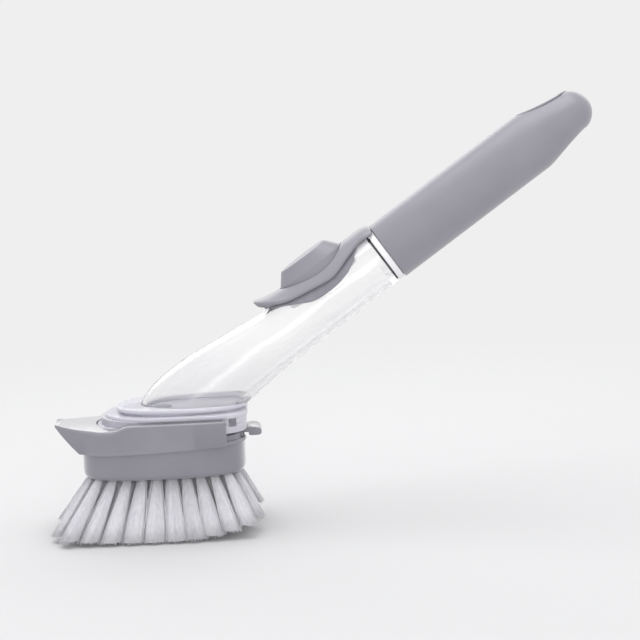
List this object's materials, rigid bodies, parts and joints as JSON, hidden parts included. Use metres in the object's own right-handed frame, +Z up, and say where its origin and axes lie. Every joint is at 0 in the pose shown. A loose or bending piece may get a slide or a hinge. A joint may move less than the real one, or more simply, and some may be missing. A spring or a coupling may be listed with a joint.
{
  "type": "soap-dispensing pot brush",
  "caption": "Long-handled pot brush with a clear soap reservoir, a press button, a screw-off grip with a hang hole, and a slide-off bristle head with a scraper nose.",
  "frame": {"origin": "middle of the footprint, on the level of the bristle tips", "axes": "+X to the handle's tail, with the scraper nose at -X; +Y across; +Z up, square to the tips' level"},
  "size_m": [0.2464, 0.0628, 0.1876],
  "materials": {
    "grey_plastic": "fine matte, soft sheen",
    "head_plastic": "satin moulding",
    "clear_plastic": "clear, polished",
    "dark_seal": "matte",
    "grey_silicone": "soft matte",
    "pale_silicone": "translucent matte",
    "white_plastic": "satin",
    "bristle_nylon": "pale nylon monofilament"
  },
  "bodies": {
    "reservoir": {"reservoir_tube": "clear_plastic", "base_plate": "clear_plastic", "button_bezel": "grey_plastic", "pump_diaphragm": "grey_silicone", "outlet_valve": "pale_silicone", "valve_retainer": "white_plastic"},
    "button": {"button_cap": "grey_plastic"},
    "seal": {"mouth_seal": "dark_seal"},
    "handle": {"handle_grip": "grey_plastic", "handle_collar": "clear_plastic"},
    "brush_head": {"head_shoe": "head_plastic", "bristle_block": "head_plastic", "bristles_right_outer": "bristle_nylon", "bristles_right_inner": "bristle_nylon", "bristles_left_inner": "bristle_nylon", "bristles_left_outer": "bristle_nylon"},
    "tab": {"release_tab": "head_plastic"}
  },
  "joints": [
    {"name": "button_press", "type": "slide", "parent": "reservoir", "child": "button", "axis": [0.5736, 0, -0.8192], "range_m": [0, 0.003], "stiffness_N_per_m": 2500, "springref_m": -0.001, "deforming": ["pump_diaphragm"]},
    {"name": "handle_lift", "type": "slide", "parent": "reservoir", "child": "seal", "axis": [0.8192, 0, 0.5736], "range_m": [0, 0.017]},
    {"name": "handle_turn", "type": "hinge", "parent": "seal", "child": "handle", "pos_m": [0.0309, 0, 0.12], "axis": [0.8192, 0, 0.5736], "range_deg": [0, 720.05]},
    {"name": "head_slide", "type": "slide", "parent": "reservoir", "child": "brush_head", "axis": [-1, 0, 0], "range_m": [0, 0.078], "deforming": ["release_tab"]},
    {"name": "tab_press", "type": "hinge", "parent": "brush_head", "child": "tab", "pos_m": [-0.0626, 0, 0.04395], "axis": [0, 1, 0], "range_deg": [0, 6], "stiffness_Nm_per_rad": 1.5, "springref_deg": -1.15}
  ],
  "couplings": [
    {"joint": "handle_turn", "follows": "handle_lift", "rad_per_m": 739.2}
  ]
}
